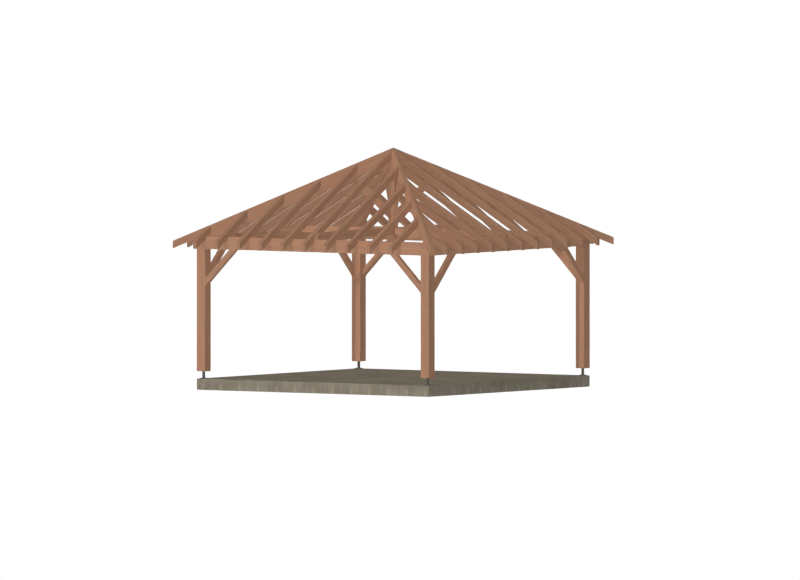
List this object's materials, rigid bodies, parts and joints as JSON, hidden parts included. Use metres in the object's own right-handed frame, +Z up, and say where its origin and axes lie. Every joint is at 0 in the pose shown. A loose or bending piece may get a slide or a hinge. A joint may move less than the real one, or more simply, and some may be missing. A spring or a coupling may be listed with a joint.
{
  "type": "garden gazebo",
  "caption": "Open square timber gazebo on a concrete slab, with knee-braced posts on steel standoffs and a bare hip roof frame of rafters around a strutted king post.",
  "frame": {"origin": "middle of the slab's underside, on the ground", "axes": "+Z up, -Y towards the front, +X towards the right side"},
  "size_m": [5.6566, 5.6566, 4.2632],
  "materials": {
    "frame_timber": "planed, stained brown",
    "roof_timber": "planed, stained brown",
    "concrete": "cast grey concrete",
    "standoff_steel": "dark grey coated steel"
  },
  "bodies": {
    "root": {"base_slab": "concrete", "front_left_standoff": "standoff_steel", "front_right_standoff": "standoff_steel", "back_right_standoff": "standoff_steel", "back_left_standoff": "standoff_steel", "front_left_post": "frame_timber", "front_right_post": "frame_timber", "back_right_post": "frame_timber", "back_left_post": "frame_timber", "front_brace_left": "frame_timber", "front_brace_right": "frame_timber", "right_brace_front": "frame_timber", "right_brace_back": "frame_timber", "back_brace_right": "frame_timber", "back_brace_left": "frame_timber", "left_brace_back": "frame_timber", "left_brace_front": "frame_timber", "front_beam": "frame_timber", "right_beam": "frame_timber", "back_beam": "frame_timber", "left_beam": "frame_timber", "king_post": "roof_timber", "front_left_strut": "roof_timber", "front_right_strut": "roof_timber", "back_right_strut": "roof_timber", "back_left_strut": "roof_timber", "front_common_rafter": "roof_timber", "right_common_rafter": "roof_timber", "back_common_rafter": "roof_timber", "left_common_rafter": "roof_timber", "front_left_hip_rafter": "roof_timber", "front_right_hip_rafter": "roof_timber", "back_right_hip_rafter": "roof_timber", "back_left_hip_rafter": "roof_timber", "front_jack_rafters_left": "roof_timber", "front_jack_rafters_right": "roof_timber", "right_jack_rafters_front": "roof_timber", "right_jack_rafters_back": "roof_timber", "back_jack_rafters_right": "roof_timber", "back_jack_rafters_left": "roof_timber", "left_jack_rafters_back": "roof_timber", "left_jack_rafters_front": "roof_timber"}
  },
  "joints": []
}
